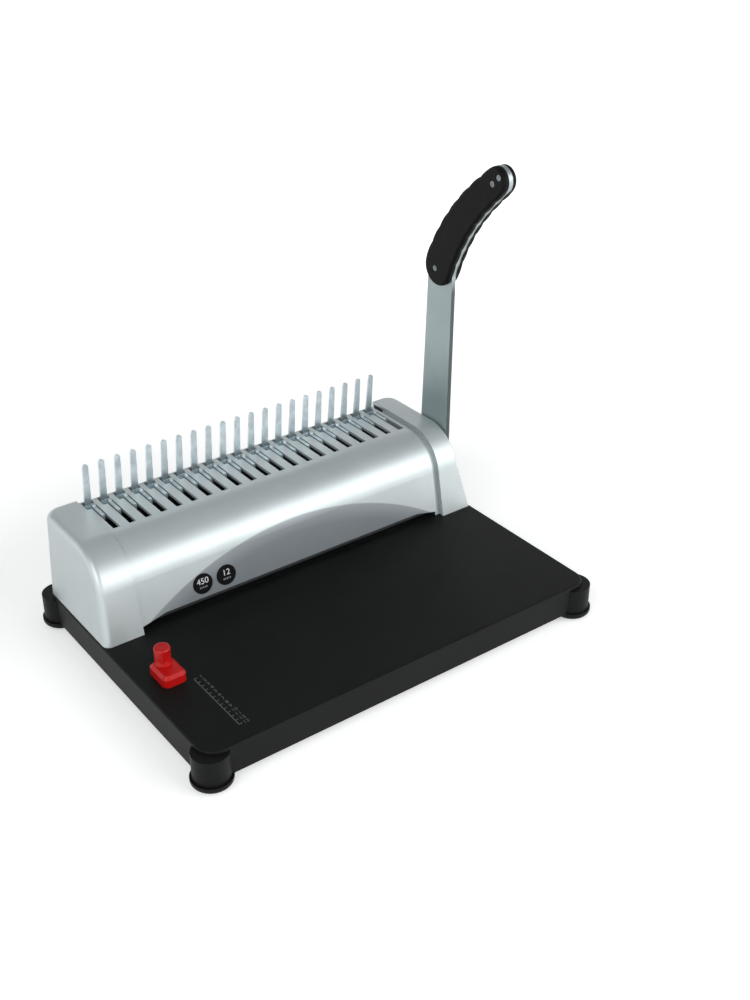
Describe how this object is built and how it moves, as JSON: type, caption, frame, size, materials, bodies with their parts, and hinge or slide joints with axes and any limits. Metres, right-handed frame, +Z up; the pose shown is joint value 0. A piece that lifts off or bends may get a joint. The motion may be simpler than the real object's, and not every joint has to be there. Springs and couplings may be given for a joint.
{
  "type": "comb binding machine",
  "caption": "Desk machine that punches a row of slots in sheets and opens a plastic binding comb, worked by one long side lever over a flat bed",
  "frame": {"origin": "on the table, under the middle of the machine's box", "axes": "+X to the lever's side, -Y to the user, +Z up"},
  "size_m": [0.3866, 0.2796, 0.3586],
  "materials": {
    "base_black": "fine matte grain",
    "silver_shell": "silver paint, satin",
    "foot_rubber": "soft matte",
    "guide_red": "smooth",
    "knob_red": "smooth",
    "badge_black": "smooth",
    "grip_black": "satin",
    "drawer_black": "matte",
    "guide_plastic": "natural",
    "lever_steel": "brushed",
    "zinc_steel": "zinc plated",
    "tool_steel": "ground",
    "bush_brass": "turned",
    "screw_steel": "bright"
  },
  "bodies": {
    "frame_body": {"base_tray": "base_black", "rubber_feet": "foot_rubber", "centre_cover": "silver_shell", "cover_screws": "screw_steel", "left_end_cap": "silver_shell", "right_end_cap": "silver_shell", "size_badges": "badge_black", "left_side_plate": "zinc_steel", "right_side_plate": "zinc_steel", "left_bush": "bush_brass", "right_bush": "bush_brass", "lower_die": "tool_steel", "pin_guide": "tool_steel", "back_stop": "tool_steel", "guide_posts": "tool_steel", "post_rail": "zinc_steel", "comb_posts": "zinc_steel", "hook_guides": "guide_plastic", "return_springs": "zinc_steel", "drawer_rails": "drawer_black"},
    "lever_body": {"main_shaft": "tool_steel", "shaft_clip": "tool_steel", "left_punch_pinion": "tool_steel", "right_punch_pinion": "tool_steel", "left_hook_pinion": "tool_steel", "right_hook_pinion": "tool_steel", "lever_arm": "lever_steel", "grip_inner": "grip_black", "grip_outer": "grip_black", "lever_screw": "screw_steel", "grip_rivets": "screw_steel"},
    "punch_body": {"punch_beam": "zinc_steel", "punch_pins": "tool_steel", "pin_keeper": "zinc_steel", "keeper_screws": "screw_steel", "left_punch_rack": "tool_steel", "right_punch_rack": "tool_steel"},
    "hook_body": {"hook_rail": "zinc_steel", "opening_hooks": "zinc_steel", "left_hook_rack": "tool_steel", "right_hook_rack": "tool_steel"},
    "guide_body": {"edge_guide": "guide_red", "guide_nut": "zinc_steel"},
    "knob_body": {"guide_knob": "knob_red"},
    "drawer_body": {"chip_drawer": "drawer_black"}
  },
  "joints": [
    {"name": "lever_turn", "type": "hinge", "parent": "frame_body", "child": "lever_body", "pos_m": [0, 0.0675, 0.077], "axis": [1, 0, 0], "range_deg": [0, 62], "stiffness_Nm_per_rad": 2, "springref_deg": -20.05},
    {"name": "punch_slide", "type": "slide", "parent": "frame_body", "child": "punch_body", "axis": [0, 0, -1], "range_m": [0, 0.0115], "deforming": ["return_springs"]},
    {"name": "hook_slide", "type": "slide", "parent": "frame_body", "child": "hook_body", "axis": [0, -1, 0], "range_m": [0, 0.0148]},
    {"name": "guide_slide", "type": "slide", "parent": "frame_body", "child": "guide_body", "axis": [1, 0, 0], "range_m": [-0.005, 0.005]},
    {"name": "knob_turn", "type": "hinge", "parent": "guide_body", "child": "knob_body", "pos_m": [-0.161, -0.0285, 0.05], "axis": [0, 0, 1], "range_deg": [0, 120]},
    {"name": "drawer_slide", "type": "slide", "parent": "frame_body", "child": "drawer_body", "axis": [0, 1, 0], "range_m": [0, 0.085]}
  ],
  "couplings": [
    {"joint": "punch_slide", "follows": "lever_turn", "m_per_rad": 0.0105},
    {"joint": "hook_slide", "follows": "lever_turn", "m_per_rad": 0.0135}
  ]
}
